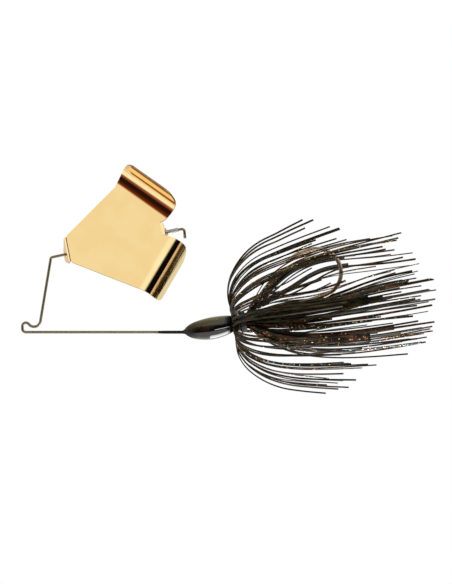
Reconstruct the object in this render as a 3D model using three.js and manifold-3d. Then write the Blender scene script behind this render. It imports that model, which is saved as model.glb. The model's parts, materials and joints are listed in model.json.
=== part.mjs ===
// Buzzbait: a topwater fishing lure. One bent wire carries a two-winged blade that spins on its
// upper shaft, and a painted lead head with a hook and a flared skirt of silicone strands.
// Millimetres. +X runs rearward along the lure, +Z is up in the water, and +Y is the lure's
// right-hand side. The origin is the line tie, the open bend at the front of the wire, and the
// wire lies in the plane y = 0. Headings are degrees above +X in that plane.
import * as THREE from "three";
import { mergeVertices } from "three/addons/utils/BufferGeometryUtils.js";
import Module from "manifold-3d";

const wasm = await Module();
wasm.setup();

// Wire frame
const wireRadius = 0.5;
const armZ = -1.5; // the lower arm's centre line
const tieBendRadius = 1.3;
const tieCentreX = -0.6; // where the arm ends and the line tie's bend begins
const kinkRadius = 2.3;
const kinkHeading = -47; // how steeply the wire comes down behind the line tie
const uprightHeading = 80.6;
const uprightLength = 22.6;
const cornerRadius = 1.0; // bend between the upright and the blade shaft
const shaftHeading = 12.25;
const shaftLength = 47.4;
const stopRadius = 0.9; // bend that stops the rivet
const stopTurn = -98;
const stopLeg = 2.5;

// Blade, in its own frame: x along the shaft from the front hole, z across, y towards the right
const frontHoleFromCorner = 5.63;
const bladeTurn = 20; // how far the blade stands turned round the shaft at rest
const sheet = 0.6;
const plateOffset = 4.2; // from the shaft to the middle of the plate
const noseX = 0.75;
const noseHalfWidth = 5.2;
const foldStart = [23.2, 20.5]; // outer end of a wing's fold line
const foldEnd = [37.7, 3.6]; // inner end of a wing's fold line
const rearTabX = 36.3;
const rearTabHalfWidth = 2.4;
const frontTabHalfWidth = 4.6;
const frontTabTip = 3.0; // radius of the front tab's round end
const tabHoleRadius = 0.75;
const wingBendRadius = 6.3;
const wingArc = 80; // degrees of curl
const wingLip = 3.2; // flat strip beyond the curl
const wingInnerCorner = 4.8;
const wingOuterCorner = 4.2;

// Rivet behind the blade
const rivetLength = 4.4;
const rivetFlangeRadius = 1.7;
const rivetFlange = 0.4;
const rivetBarrelRadius = 0.82;
const rivetBoreRadius = 0.58;
const rivetGap = 0.3; // between the rear tab and the flange

// Head
const noseAt = [56.4, -1.4]; // x and z of the nose
const headHeading = 10;
const headRear = 18.6; // length of the painted bullet along its axis
const barrelRadius = 1.9;
const barrelEnd = 25.4;
const ringRadius = 2.2;
const bellyDrop = 0.45; // how far the bullet's middle hangs below its axis
const castGap = 0.1; // between the lead and the steel cast into it

// Hook
const hookRadius = 0.75;
const eyeAt = [66, -0.75];
const eyeRingRadius = 1.4;
const eyeWireRadius = 0.42;
const hookHeading = 16.9;
const shankLength = 41.1;
const hookBendRadius = 8.64;
const hookBendTurn = 184;
const pointLeg = 4.6;
const pointCone = 3.6;
const barbLean = 14; // degrees that the barb stands off the point

// Skirt, in its own frame: x along the head's axis from the middle of the collar
const collarFromNose = 21.4;
const collarHalfLength = 1.1;
const collarInner = 2.95;
const collarOuter = 3.9;
const strandCount = 24;
const gripRadius = 2.45; // strands under the collar
const gripWidth = 0.46;
const gripThickness = 0.46;
const lockWidth = 1.3;
const lockThickness = 0.6;
const partingAngle = 34; // how far the strands beside the hook are pushed round it

const degrees = Math.PI / 180;

// Turns a closed three.js geometry into a solid that can be cut and joined.
function solidOf(geometry) {
  const bare = geometry.clone();
  bare.deleteAttribute("normal");
  bare.deleteAttribute("uv");
  const merged = mergeVertices(bare, 1e-4);
  return new wasm.Manifold(
    new wasm.Mesh({
      numProp: 3,
      vertProperties: merged.attributes.position.array,
      triVerts: new Uint32Array(merged.index.array),
    }),
  );
}

// Turns a cut or joined solid back into a three.js geometry.
function geometryOf(solid) {
  const mesh = solid.getMesh();
  const geometry = new THREE.BufferGeometry();
  geometry.setAttribute("position", new THREE.BufferAttribute(mesh.vertProperties, 3));
  geometry.setIndex(new THREE.BufferAttribute(mesh.triVerts, 1));
  geometry.computeVertexNormals();
  return geometry;
}

// A row of chosen points as a curve, so that a sweep has one section at each of them.
class PointCurve extends THREE.Curve {
  constructor(points) {
    super();
    this.points = points;
  }
  getPoint(t, target = new THREE.Vector3()) {
    const place = t * (this.points.length - 1);
    const index = Math.min(Math.floor(place), this.points.length - 2);
    return target.lerpVectors(this.points[index], this.points[index + 1], place - index);
  }
  getUtoTmapping(u) {
    return u;
  }
}

// Round wire along a row of points.
function sweptWire(points, radius, sides) {
  const section = new THREE.Shape();
  for (let side = 0; side < sides; side += 1) {
    const angle = (2 * Math.PI * side) / sides;
    const corner = [radius * Math.cos(angle), radius * Math.sin(angle)];
    if (side === 0) section.moveTo(...corner);
    else section.lineTo(...corner);
  }
  return new THREE.ExtrudeGeometry(section, {
    steps: points.length - 1,
    extrudePath: new PointCurve(points),
  });
}

// Centre line of a bent wire in the plane y = 0: straight runs, each followed by a turn at a
// radius, as [length, turn in degrees, radius]. A turn is positive upwards from +X.
function bentLine(startX, startZ, startHeading, runs) {
  const points = [new THREE.Vector3(startX, 0, startZ)];
  let heading = startHeading * degrees;
  const here = points[0].clone();
  for (const [length, turn, radius] of runs) {
    here.x += length * Math.cos(heading);
    here.z += length * Math.sin(heading);
    points.push(here.clone());
    const steps = Math.ceil(Math.abs(turn) / 18);
    const stepAngle = steps ? (turn * degrees) / steps : 0;
    const chord = 2 * radius * Math.sin(Math.abs(stepAngle) / 2);
    for (let step = 0; step < steps; step += 1) {
      here.x += chord * Math.cos(heading + stepAngle / 2);
      here.z += chord * Math.sin(heading + stepAngle / 2);
      heading += stepAngle;
      points.push(here.clone());
    }
  }
  return points;
}

// Closed solid through a row of sections that all have the same number of corners.
function loft(sections) {
  const corners = sections[0].length;
  const positions = sections.flat().flatMap((corner) => corner.toArray());
  const faces = [];
  for (let ring = 0; ring < sections.length - 1; ring += 1) {
    for (let side = 0; side < corners; side += 1) {
      const here = ring * corners + side;
      const beside = ring * corners + ((side + 1) % corners);
      faces.push(here, beside, beside + corners, here, beside + corners, here + corners);
    }
  }
  const last = (sections.length - 1) * corners;
  for (let side = 1; side < corners - 1; side += 1) {
    faces.push(0, side + 1, side, last, last + side, last + side + 1);
  }
  const geometry = new THREE.BufferGeometry();
  geometry.setAttribute("position", new THREE.Float32BufferAttribute(positions, 3));
  geometry.setIndex(faces);
  geometry.computeVertexNormals();
  return geometry;
}

// Turned solid whose profile, [radius, distance along the axis], runs along +X.
function turned(profile, segments) {
  const points = profile.map(([radius, along]) => new THREE.Vector2(radius, along));
  return new THREE.LatheGeometry(points, segments).rotateZ(-Math.PI / 2);
}

function named(name, geometry, colour, roughness, metalness) {
  const material = new THREE.MeshStandardMaterial({ color: colour, roughness, metalness });
  const mesh = new THREE.Mesh(geometry, material);
  mesh.name = name;
  return mesh;
}

// --- Wire frame -------------------------------------------------------------------------------

// From the end hooked through the hook's eye, along the lower arm, round the line tie, up the
// upright and along the blade shaft to the turned-down end.
function wireLine() {
  const joggle = 25;
  const innerRuns = [
    [2.6, -90, 0.9],
    [0.9, -joggle, 1.5],
    [1.93, joggle, 1.5],
  ];
  const startZ = 1.0;
  const inner = bentLine(eyeAt[0], startZ, -90, innerRuns);
  const innerEnd = inner[inner.length - 1];
  const lift = armZ - innerEnd.z;
  const runs = [
    ...innerRuns,
    [innerEnd.x - tieCentreX, -90, tieBendRadius],
    [0.8, kinkHeading - 90, tieBendRadius],
    [0.4, uprightHeading - kinkHeading, kinkRadius],
    [uprightLength, shaftHeading - uprightHeading, cornerRadius],
    [shaftLength, stopTurn, stopRadius],
    [stopLeg, 0, 0],
  ];
  return bentLine(eyeAt[0], startZ + lift, -90, runs);
}

const wirePoints = wireLine();
const wireFrame = named("wire_frame", sweptWire(wirePoints, wireRadius, 8), 0x8d8478, 0.3, 1);

// --- Hook -------------------------------------------------------------------------------------

// Eye, shank, round bend and tapered point with its barb, grown all over by an allowance.
function hookSolid(allowance) {
  const heading = hookHeading * degrees;
  const line = bentLine(
    eyeAt[0] + eyeRingRadius * Math.cos(heading),
    eyeAt[1] + eyeRingRadius * Math.sin(heading),
    hookHeading,
    [
      [shankLength, hookBendTurn, hookBendRadius],
      [pointLeg, 0, 0],
    ],
  );
  const eye = new THREE.TorusGeometry(eyeRingRadius, eyeWireRadius + allowance, 8, 18);
  eye.rotateY(-heading).translate(eyeAt[0], 0, eyeAt[1]);
  const pointHeading = (hookHeading + hookBendTurn) * degrees;
  const end = line[line.length - 1];
  const tip = new THREE.ConeGeometry(hookRadius, pointCone, 8);
  tip.translate(0, pointCone / 2 - 0.05, 0).rotateX(Math.PI / 2);
  tip.rotateY(Math.PI / 2 - pointHeading).translate(end.x, 0, end.z);
  const barb = new THREE.ConeGeometry(0.3, 1.9, 6);
  barb.translate(0, -0.95, 0).rotateX(Math.PI / 2);
  barb.rotateY(Math.PI / 2 - pointHeading - barbLean * degrees);
  barb.translate(end.x - 1.2 * Math.cos(pointHeading), 0, end.z - 1.2 * Math.sin(pointHeading));
  return solidOf(sweptWire(line, hookRadius + allowance, 8))
    .add(solidOf(eye))
    .add(solidOf(tip))
    .add(solidOf(barb));
}

const hook = named("hook", geometryOf(hookSolid(0)), 0x5a4230, 0.3, 1);

// --- Lead head --------------------------------------------------------------------------------

// Bullet with a slightly heavier belly, and behind it the plain barrel and ring that carry the
// skirt. The wire and the hook are cast into it, so both leave it through openings.
function headSolid() {
  const profile = [
    [0, 0],
    [0.8, 0],
    [1.55, 0.8],
    [2.4, 2.2],
    [3.1, 4],
    [3.65, 6.4],
    [4.0, 9.6],
    [3.85, 12.8],
    [3.4, 15.8],
    [2.75, 18],
    [2.2, headRear],
    [barrelRadius, headRear],
    [barrelRadius, 23.4],
    [ringRadius, 23.7],
    [ringRadius, 24.3],
    [barrelRadius, 24.6],
    [barrelRadius, barrelEnd],
    [0, barrelEnd],
  ];
  const bullet = turned(profile, 24);
  const place = bullet.getAttribute("position");
  for (let vertex = 0; vertex < place.count; vertex += 1) {
    const share = place.getX(vertex) / headRear;
    const belly = share < 1 ? bellyDrop * Math.sin(Math.PI * Math.max(share, 0)) : 0;
    place.setZ(vertex, place.getZ(vertex) - belly);
  }
  bullet.rotateY(-headHeading * degrees).translate(noseAt[0], 0, noseAt[1]);
  const wireRoom = solidOf(sweptWire(wirePoints, wireRadius + castGap, 8));
  return solidOf(bullet).subtract(wireRoom).subtract(hookSolid(castGap));
}

const leadHead = named("lead_head", geometryOf(headSolid()), 0x16160f, 0.15, 0);

// --- Blade ------------------------------------------------------------------------------------

// The flat middle of the blade, between the two fold lines and the two tabs.
function plateSolid() {
  const outline = new THREE.Shape();
  outline.moveTo(noseX, -noseHalfWidth);
  outline.lineTo(foldStart[0], -foldStart[1]);
  outline.lineTo(foldEnd[0], -foldEnd[1]);
  outline.lineTo(rearTabX, -rearTabHalfWidth);
  outline.lineTo(rearTabX, rearTabHalfWidth);
  outline.lineTo(foldEnd[0], foldEnd[1]);
  outline.lineTo(foldStart[0], foldStart[1]);
  outline.lineTo(noseX, noseHalfWidth);
  const plate = new THREE.ExtrudeGeometry(outline, { depth: sheet, bevelEnabled: false });
  plate.rotateX(Math.PI / 2).translate(0, sheet / 2 - plateOffset, 0);
  return solidOf(plate);
}

// A tab folded square from the plate, with a round end and a hole for the shaft.
function tabSolid(x, halfWidth, tipRadius) {
  const outline = new THREE.Shape();
  const foot = -plateOffset - sheet / 2;
  outline.moveTo(-halfWidth, foot);
  outline.lineTo(halfWidth, foot);
  outline.lineTo(halfWidth, foot + 1.2);
  outline.lineTo(tipRadius, 0);
  outline.absarc(0, 0, tipRadius, 0, Math.PI, false);
  outline.lineTo(-halfWidth, foot + 1.2);
  const hole = new THREE.Path();
  hole.absarc(0, 0, tabHoleRadius, 0, 2 * Math.PI, true);
  outline.holes.push(hole);
  const tab = new THREE.ExtrudeGeometry(outline, {
    depth: sheet,
    bevelEnabled: false,
    curveSegments: 10,
  });
  return solidOf(tab.rotateY(Math.PI / 2).translate(x - sheet / 2, 0, 0));
}

// A wing curled about its fold line. side is 1 for the upper wing, which curls to the left, and
// -1 for the lower wing, which curls to the right: the blade looks the same turned half round.
function wingSolid(side) {
  const run = [foldEnd[0] - foldStart[0], foldEnd[1] - foldStart[1]];
  const width = Math.hypot(...run);
  const along = [run[0] / width, run[1] / width];
  const outward = [-along[1], along[0]];
  const curled = wingBendRadius * wingArc * degrees;
  const length = curled + wingLip;
  const reach = (beyond, corner) => corner - Math.sqrt(corner ** 2 - beyond ** 2);
  const cornerAt = (place, corner) => reach(Math.max(0, place - length + corner), corner);
  const stations = [-0.4, 0, curled];
  for (let step = 1; step <= 8; step += 1) {
    stations.push(((length - wingInnerCorner) * step) / 8);
  }
  for (const share of [0.3, 0.55, 0.75, 0.9, 1]) {
    stations.push(length - wingInnerCorner + wingInnerCorner * share);
  }
  stations.sort((one, other) => one - other);
  const sections = stations.map((place) => {
    const angle = Math.min(Math.max(0, place), curled) / wingBendRadius;
    const straight = place < 0 ? place : Math.max(0, place - curled);
    const out = wingBendRadius * Math.sin(angle) + straight * Math.cos(angle);
    const lift = wingBendRadius * (1 - Math.cos(angle)) + straight * Math.sin(angle);
    const from = cornerAt(place, wingOuterCorner);
    const to = width - cornerAt(place, wingInnerCorner);
    const corner = (across, offset) => {
      const flat = out - offset * Math.sin(angle);
      return new THREE.Vector3(
        foldStart[0] + along[0] * across + outward[0] * flat,
        -plateOffset - side * (lift + offset * Math.cos(angle)),
        side * (foldStart[1] + along[1] * across + outward[1] * flat),
      );
    };
    const half = sheet / 2;
    return [corner(from, half), corner(to, half), corner(to, -half), corner(from, -half)];
  });
  return solidOf(loft(sections));
}

function bladeSolid() {
  return plateSolid()
    .add(tabSolid(noseX, frontTabHalfWidth, frontTabTip))
    .add(tabSolid(rearTabX, rearTabHalfWidth, rearTabHalfWidth))
    .add(wingSolid(1))
    .add(wingSolid(-1));
}

const buzzBlade = named("buzz_blade", geometryOf(bladeSolid()), 0xd9b36a, 0.1, 1);
buzzBlade.rotation.x = -bladeTurn * degrees;

const rivetFrom = rearTabX + sheet / 2 + rivetGap;
const rivetProfile = [
  [rivetBoreRadius, 0],
  [rivetFlangeRadius, 0],
  [rivetFlangeRadius, rivetFlange],
  [rivetBarrelRadius, rivetFlange + 0.15],
  [rivetBarrelRadius, rivetLength],
  [rivetBoreRadius, rivetLength],
  [rivetBoreRadius, 0],
];
const rearRivet = named("rear_rivet", turned(rivetProfile, 20), 0xb9b9b6, 0.35, 1);
rearRivet.position.x = rivetFrom;

// The shaft's own group: the blade and its rivet, from the blade's front hole along the shaft.
const shaftGroup = new THREE.Group();
shaftGroup.add(buzzBlade, rearRivet);
shaftGroup.rotation.y = -shaftHeading * degrees;
const shaftCorner = shaftCornerPoint();
shaftGroup.position.set(
  shaftCorner.x + frontHoleFromCorner * Math.cos(shaftHeading * degrees),
  0,
  shaftCorner.z + frontHoleFromCorner * Math.sin(shaftHeading * degrees),
);

// Where the centre lines of the upright and the shaft would meet if the bend were sharp.
function shaftCornerPoint() {
  const runsAfterCorner = Math.ceil(Math.abs(stopTurn) / 18) + 1;
  const shaftStart = wirePoints[wirePoints.length - 2 - runsAfterCorner];
  const tangent = cornerRadius * Math.tan(((uprightHeading - shaftHeading) / 2) * degrees);
  return new THREE.Vector3(
    shaftStart.x - tangent * Math.cos(shaftHeading * degrees),
    0,
    shaftStart.z - tangent * Math.sin(shaftHeading * degrees),
  );
}

// --- Skirt ------------------------------------------------------------------------------------

const skirt = new THREE.Group();
skirt.rotation.y = -headHeading * degrees;
skirt.position.set(
  noseAt[0] + collarFromNose * Math.cos(headHeading * degrees),
  0,
  noseAt[1] + collarFromNose * Math.sin(headHeading * degrees),
);

const collarProfile = [
  [collarInner, -collarHalfLength],
  [collarOuter - 0.3, -collarHalfLength],
  [collarOuter, -collarHalfLength + 0.3],
  [collarOuter, collarHalfLength - 0.3],
  [collarOuter - 0.3, collarHalfLength],
  [collarInner, collarHalfLength],
  [collarInner, -collarHalfLength],
];
skirt.add(named("skirt_collar", turned(collarProfile, 24), 0x10100e, 0.6, 0));

// The folded-back front halves, as [distance along the axis, radius], from the collar to the tip:
// the widest umbrella and the tightest one. Other strands lie between the two.
const wideFront = [
  [-2.6, 3.6],
  [-3.7, 8],
  [-3.3, 13],
  [-0.8, 18.4],
  [4.5, 23.8],
  [11.5, 28],
  [20, 30.3],
  [29, 31.4],
];
const tightFront = [
  [-2.5, 3.5],
  [-2.9, 5.6],
  [-1.2, 8.6],
  [3, 12],
  [10, 15.4],
  [20, 18.6],
  [31, 21.4],
  [41, 23.4],
];
const frontSpreads = [1, 0, 0.55]; // 1 is the widest umbrella, repeated round the skirt
const rearReaches = [
  [62, 12],
  [58, 23],
  [67, 6],
]; // [length, tip radius] of the straight halves, repeated round the skirt

// Azimuth of a straight half, pushed away from the hook's plane above the shank.
function partedAzimuth(azimuth, x) {
  const fromHook = Math.abs(azimuth - 90);
  const push = partingAngle * Math.exp(-(fromHook - 180 / strandCount) / 45);
  const share = THREE.MathUtils.smoothstep(x, 2, 18);
  return azimuth + Math.sign(azimuth - 90) * push * share;
}

// One lock of strands: gripped under the collar at its middle, its front half folded back over
// the outside and its rear half running straight back round the hook.
function strandLock(index) {
  const azimuth = -90 + (360 * (index + 0.5)) / strandCount;
  const spread = frontSpreads[index % 3];
  const [reach, tipRadius] = rearReaches[index % 3];
  const at = (x, radius, angle) =>
    new THREE.Vector3(x, radius * Math.cos(angle * degrees), radius * Math.sin(angle * degrees));
  const front = wideFront.map(([x, radius], place) => {
    const [tightX, tightRadius] = tightFront[place];
    const { lerp } = THREE.MathUtils;
    return at(lerp(tightX, x, spread), lerp(tightRadius, radius, spread), azimuth);
  });
  const rear = [0.05, 0.14, 0.28, 0.46, 0.7, 1].map((share) => {
    const x = collarHalfLength + 0.4 + reach * share;
    const radius = gripRadius + (tipRadius - gripRadius) * share ** 0.72;
    return at(x, radius, partedAzimuth(azimuth, x));
  });
  const grip = [
    at(-collarHalfLength - 0.5, gripRadius, azimuth),
    at(0, gripRadius, azimuth),
    at(collarHalfLength + 0.4, gripRadius, azimuth),
  ];
  const line = new THREE.CatmullRomCurve3([...front.reverse(), ...grip, ...rear], false, "centripetal");
  return ribbon(line);
}

// Flat strip along a curve, narrow under the collar and full width away from it.
function ribbon(line) {
  const steps = 2 * (line.points.length - 1);
  const sections = [];
  for (let step = 0; step <= steps; step += 1) {
    const point = line.getPoint(step / steps);
    const tangent = line.getTangent(step / steps);
    const radial = new THREE.Vector3(0, point.y, point.z);
    const across = new THREE.Vector3(1, 0, 0).cross(radial).normalize();
    across.addScaledVector(tangent, -across.dot(tangent)).normalize();
    const thick = new THREE.Vector3().crossVectors(tangent, across);
    const open = THREE.MathUtils.smoothstep(radial.length(), gripRadius + 0.5, gripRadius + 6);
    const halfWidth = THREE.MathUtils.lerp(gripWidth, lockWidth, open) / 2;
    const halfThickness = THREE.MathUtils.lerp(gripThickness, lockThickness, open) / 2;
    const corner = (side, face) =>
      point
        .clone()
        .addScaledVector(across, side * halfWidth)
        .addScaledVector(thick, face * halfThickness);
    sections.push([corner(-1, -1), corner(1, -1), corner(1, 1), corner(-1, 1)]);
  }
  return loft(sections);
}

for (let index = 0; index < strandCount; index += 1) {
  const name = `skirt_lock_${String(index + 1).padStart(2, "0")}`;
  skirt.add(named(name, strandLock(index), 0x1d1a10, 0.45, 0));
}

const buzzbait = new THREE.Group();
buzzbait.add(wireFrame, hook, leadHead, shaftGroup, skirt);

export default buzzbait;
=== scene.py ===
import json
import math
import random

import bmesh
import bpy
from mathutils import Matrix, Vector


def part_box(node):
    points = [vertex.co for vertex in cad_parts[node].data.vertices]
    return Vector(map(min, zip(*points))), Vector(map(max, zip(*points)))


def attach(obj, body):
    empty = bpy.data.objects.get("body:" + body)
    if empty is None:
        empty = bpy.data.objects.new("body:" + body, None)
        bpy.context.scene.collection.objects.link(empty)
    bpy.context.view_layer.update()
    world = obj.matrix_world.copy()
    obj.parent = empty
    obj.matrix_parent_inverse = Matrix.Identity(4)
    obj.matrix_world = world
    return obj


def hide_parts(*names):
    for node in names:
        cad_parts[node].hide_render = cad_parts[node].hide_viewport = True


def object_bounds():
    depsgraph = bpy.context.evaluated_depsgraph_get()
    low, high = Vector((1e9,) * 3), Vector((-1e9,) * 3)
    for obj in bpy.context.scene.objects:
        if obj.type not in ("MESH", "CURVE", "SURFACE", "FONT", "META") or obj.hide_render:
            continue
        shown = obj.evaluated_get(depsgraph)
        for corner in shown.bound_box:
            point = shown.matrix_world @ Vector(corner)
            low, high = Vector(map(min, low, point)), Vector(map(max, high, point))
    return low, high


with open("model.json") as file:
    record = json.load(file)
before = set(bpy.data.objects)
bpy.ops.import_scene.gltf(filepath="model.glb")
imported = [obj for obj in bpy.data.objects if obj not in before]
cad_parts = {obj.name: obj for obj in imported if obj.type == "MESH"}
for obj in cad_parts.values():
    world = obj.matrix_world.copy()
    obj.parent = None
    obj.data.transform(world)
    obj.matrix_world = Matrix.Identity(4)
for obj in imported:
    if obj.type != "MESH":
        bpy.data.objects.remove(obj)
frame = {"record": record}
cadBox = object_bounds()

mm = 0.001
right = Vector((0, 1, 0))  # away from the lure's left side


def makePiece(name, verts, faces, materials, faceMaterials=None, smooth=True):
    mesh = bpy.data.meshes.new(name)
    mesh.from_pydata([tuple(v) for v in verts], [], faces)
    for material in materials:
        mesh.materials.append(material)
    for index, polygon in enumerate(mesh.polygons):
        polygon.use_smooth = smooth
        if faceMaterials:
            polygon.material_index = faceMaterials[index]
    mesh.update()
    piece = bpy.data.objects.new(name, mesh)
    bpy.context.collection.objects.link(piece)
    return piece


def skin(rings, verts, faces):  # walls through a row of rings, with a fan on each end
    start = len(verts)
    count = len(rings[0])
    for ring in rings:
        verts.extend(ring)
    for level in range(len(rings) - 1):
        for side in range(count):
            here = start + level * count + side
            beside = start + level * count + (side + 1) % count
            faces.append((here, beside, beside + count, here + count))
    last = start + (len(rings) - 1) * count
    faces.append(tuple(range(start + count - 1, start - 1, -1)))
    faces.append(tuple(range(last, last + count)))


def roundRings(points, radii, sides, flat=None):  # round sections along a row of points
    rings = []
    normal = None
    for index, point in enumerate(points):
        before = points[max(index - 1, 0)]
        after = points[min(index + 1, len(points) - 1)]
        tangent = (after - before).normalized()
        if normal is None:
            normal = right - right.dot(tangent) * tangent
            normal.normalize()
        normal = (normal - normal.dot(tangent) * tangent).normalized()
        across = tangent.cross(normal)
        squeeze = flat[index] if flat else 1
        ring = []
        for side in range(sides):
            angle = 2 * math.pi * side / sides
            ring.append(point + radii[index] * (math.cos(angle) * normal * squeeze
                                                + math.sin(angle) * across))
        rings.append(ring)
    return rings


def bentLine(start, heading, runs, stepDegrees=5, spacing=2.0):  # runs: [length, turn, radius]
    points = [Vector((start[0], 0, start[1]))]
    angle = math.radians(heading)
    for length, turn, radius in runs:
        steps = max(1, round(length / spacing))
        ahead = Vector((math.cos(angle), 0, math.sin(angle)))
        for _ in range(steps):
            points.append(points[-1] + ahead * length / steps)
        steps = math.ceil(abs(turn) / stepDegrees)
        for _ in range(steps):
            part = math.radians(turn) / steps
            chord = 2 * radius * math.sin(abs(part) / 2)
            middle = angle + part / 2
            points.append(points[-1] + Vector((math.cos(middle), 0, math.sin(middle))) * chord)
            angle += part
    return points


def toMetres(points):
    return [point * mm for point in points]


def loopFaces(levels, sides):  # faces of a closed band of rings, one round section after another
    faces = []
    for level in range(levels):
        after = (level + 1) % levels * sides
        for side in range(sides):
            beside = (side + 1) % sides
            faces.append((level * sides + side, level * sides + beside,
                          after + beside, after + side))
    return faces


def faceOutwards(piece, weld=0.0):  # joins corners closer than the weld, then turns the faces out
    shape = bmesh.new()
    shape.from_mesh(piece.data)
    if weld:
        bmesh.ops.remove_doubles(shape, verts=shape.verts, dist=weld)
    bmesh.ops.recalc_face_normals(shape, faces=shape.faces)
    shape.to_mesh(piece.data)
    shape.free()


def smoothCurve(knots, perSpan):  # Catmull-Rom through the knots, which may have any length
    padded = [2 * knots[0] - knots[1], *knots, 2 * knots[-1] - knots[-2]]
    points = []
    for index in range(len(knots) - 1):
        a, b, c, d = padded[index:index + 4]
        for step in range(perSpan):
            t = step / perSpan
            points.append(0.5 * (2 * b + (c - a) * t + (2 * a - 5 * b + 4 * c - d) * t * t
                                 + (3 * b - a - 3 * c + d) * t ** 3))
    points.append(knots[-1].copy())
    return points


def smoothstep(low, high, value):
    t = min(1, max(0, (value - low) / (high - low)))
    return t * t * (3 - 2 * t)


class Nodes:  # short hands for building one node tree
    def __init__(self, tree):
        self.tree = tree

    def add(self, kind, settings=None, **inputs):
        node = self.tree.nodes.new(kind)
        for key, value in (settings or {}).items():
            setattr(node, key, value)
        for key, value in inputs.items():
            self.put(node, key.replace("_", " "), value)
        return node

    def put(self, node, socket, value):
        target = node.inputs[socket]
        if hasattr(value, "is_output"):
            self.tree.links.new(value, target)
        else:
            target.default_value = value

    def math(self, operation, first, second=0.0):
        node = self.tree.nodes.new("ShaderNodeMath")
        node.operation = operation
        for index, value in enumerate((first, second)):
            self.put(node, index, value)
        return node.outputs[0]

    def scaled(self, value, gain, base):  # value times gain, plus base
        node = self.add("ShaderNodeMath", {"operation": "MULTIPLY_ADD"})
        for index, number in enumerate((value, gain, base)):
            self.put(node, index, number)
        return node.outputs[0]

    def remap(self, value, fromLow, fromHigh, toLow=0.0, toHigh=1.0):
        node = self.add("ShaderNodeMapRange", {"interpolation_type": "SMOOTHSTEP"})
        self.tree.links.new(value, node.inputs["Value"])
        for key, number in zip(("From Min", "From Max", "To Min", "To Max"),
                               (fromLow, fromHigh, toLow, toHigh)):
            node.inputs[key].default_value = number
        return node.outputs["Result"]

    def mix(self, factor, first, second):
        node = self.add("ShaderNodeMix", {"data_type": "RGBA"})
        for index, value in ((0, factor), (6, first), (7, second)):  # the colour mix's sockets
            self.put(node, index, value)
        return node.outputs[2]

    def noise(self, scale, detail=2.0, roughness=0.5, vector=None):
        node = self.add("ShaderNodeTexNoise", Scale=scale, Detail=detail, Roughness=roughness)
        if vector is not None:
            self.tree.links.new(vector, node.inputs["Vector"])
        return node

    def place(self, scale=(1, 1, 1)):  # the piece's own coordinates, stretched
        coordinates = self.add("ShaderNodeTexCoord")
        mapping = self.add("ShaderNodeMapping")
        self.tree.links.new(coordinates.outputs["Object"], mapping.inputs["Vector"])
        mapping.inputs["Scale"].default_value = scale
        return mapping.outputs["Vector"]


def newGroup(name, inputs, outputs):
    tree = bpy.data.node_groups.new(name, "ShaderNodeTree")
    for label, kind, value in inputs:
        socket = tree.interface.new_socket(label, in_out="INPUT", socket_type=kind)
        socket.default_value = value
    for label, kind in outputs:
        tree.interface.new_socket(label, in_out="OUTPUT", socket_type=kind)
    return tree, tree.nodes.new("NodeGroupInput"), tree.nodes.new("NodeGroupOutput")


def newMaterial(name, **fixed):
    material = bpy.data.materials.new(name)
    material.use_nodes = True
    shader = material.node_tree.nodes["Principled BSDF"]
    for key, value in fixed.items():
        shader.inputs[key.replace("_", " ")].default_value = value
    return material, shader, Nodes(material.node_tree)


def useGroup(nodes, group, **values):
    node = nodes.add("ShaderNodeGroup", {"node_tree": group})
    for key, value in values.items():
        nodes.put(node, key.replace("_", " "), value)
    return node


def fineScratches():  # long hairline marks and soft smudges, shared by the bare metals
    tree, source, sink = newGroup(
        "fineScratches",
        [("Vector", "NodeSocketVector", (0, 0, 0)), ("Scale", "NodeSocketFloat", 1.0)],
        [("Marks", "NodeSocketFloat"), ("Smudge", "NodeSocketFloat")])
    nodes = Nodes(tree)
    scaled = nodes.add("ShaderNodeVectorMath", {"operation": "SCALE"})
    tree.links.new(source.outputs["Vector"], scaled.inputs[0])
    tree.links.new(source.outputs["Scale"], scaled.inputs["Scale"])
    marks = nodes.noise(1.0, detail=4, roughness=0.65, vector=scaled.outputs[0])
    smudge = nodes.noise(0.12, detail=2, vector=scaled.outputs[0])
    tree.links.new(nodes.remap(marks.outputs["Fac"], 0.35, 0.7), sink.inputs["Marks"])
    tree.links.new(nodes.remap(smudge.outputs["Fac"], 0.35, 0.65), sink.inputs["Smudge"])
    return tree


def flakeScatter():  # scattered bright cells, shared by the flecked silicones
    tree, source, sink = newGroup(
        "flakeScatter",
        [("Vector", "NodeSocketVector", (0, 0, 0)), ("Density", "NodeSocketFloat", 0.3)],
        [("Flake", "NodeSocketFloat"), ("Hue", "NodeSocketFloat")])
    nodes = Nodes(tree)
    cells = nodes.add("ShaderNodeTexVoronoi", {"feature": "F1"}, Scale=1.0)
    tree.links.new(source.outputs["Vector"], cells.inputs["Vector"])
    parts = nodes.add("ShaderNodeSeparateColor")
    tree.links.new(cells.outputs["Color"], parts.inputs["Color"])
    chosen = nodes.math("LESS_THAN", parts.outputs["Red"], source.outputs["Density"])
    inside = nodes.math("LESS_THAN", cells.outputs["Distance"], 0.46)
    tree.links.new(nodes.math("MULTIPLY", chosen, inside), sink.inputs["Flake"])
    tree.links.new(parts.outputs["Green"], sink.inputs["Hue"])
    return tree


def bumpFrom(nodes, shader, height, strength, distance):
    bump = nodes.add("ShaderNodeBump", Strength=strength, Distance=distance)
    nodes.tree.links.new(height, bump.inputs["Height"])
    nodes.tree.links.new(bump.outputs["Normal"], shader.inputs["Normal"])


scratchGroup = fineScratches()
flakeGroup = flakeScatter()


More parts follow.
